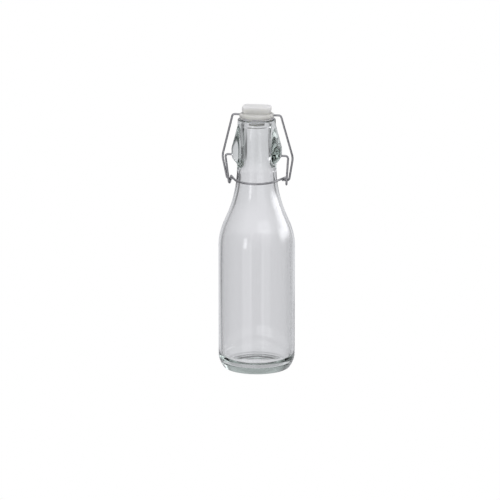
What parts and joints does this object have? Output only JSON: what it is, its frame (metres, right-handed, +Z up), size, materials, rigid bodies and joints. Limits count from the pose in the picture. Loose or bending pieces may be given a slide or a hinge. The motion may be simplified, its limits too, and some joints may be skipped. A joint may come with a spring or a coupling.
{
  "type": "growler",
  "caption": "Clear glass swing-top growler with a thick base, closed by a white stopper with a sealing ring on a two-wire lever clamp.",
  "frame": {"origin": "centre of the ring that the bottle stands on, on the bottle's axis", "axes": "+Z up the bottle's axis to the stopper, +X along the clamp's pivots to the right, -Y to the front, where the finger arc of the lever is"},
  "size_m": [0.058, 0.058, 0.2027],
  "materials": {
    "clear_glass": "clear flint glass with a faint green tint in the thick base",
    "lever_steel": "bright drawn galvanised wire",
    "bail_steel": "bright drawn galvanised wire",
    "stopper_plastic": "white translucent moulded plastic",
    "gasket_silicone": "translucent silicone"
  },
  "bodies": {
    "glass": {"bottle": "clear_glass"},
    "lever": {"lever_wire": "lever_steel"},
    "bail": {"bail_wire": "bail_steel"},
    "closure": {"stopper": "stopper_plastic", "gasket": "gasket_silicone"}
  },
  "joints": [
    {"name": "lever_swing", "type": "hinge", "parent": "glass", "child": "lever", "pos_m": [0, 0, 0.1646], "axis": [-1, 0, 0], "range_deg": [0, 100], "deforming": ["gasket"]},
    {"name": "bail_swing", "type": "hinge", "parent": "lever", "child": "bail", "pos_m": [0, 0.0065, 0.1445], "axis": [-1, 0, 0], "range_deg": [-62, 0]},
    {"name": "stopper_turn", "type": "hinge", "parent": "bail", "child": "closure", "pos_m": [0, 0, 0.1956], "axis": [-1, 0, 0], "range_deg": [-42, 0]}
  ],
  "couplings": [
    {"joint": "bail_swing", "follows": "lever_swing", "ratio": -0.607},
    {"joint": "stopper_turn", "follows": "lever_swing", "ratio": -0.393}
  ]
}
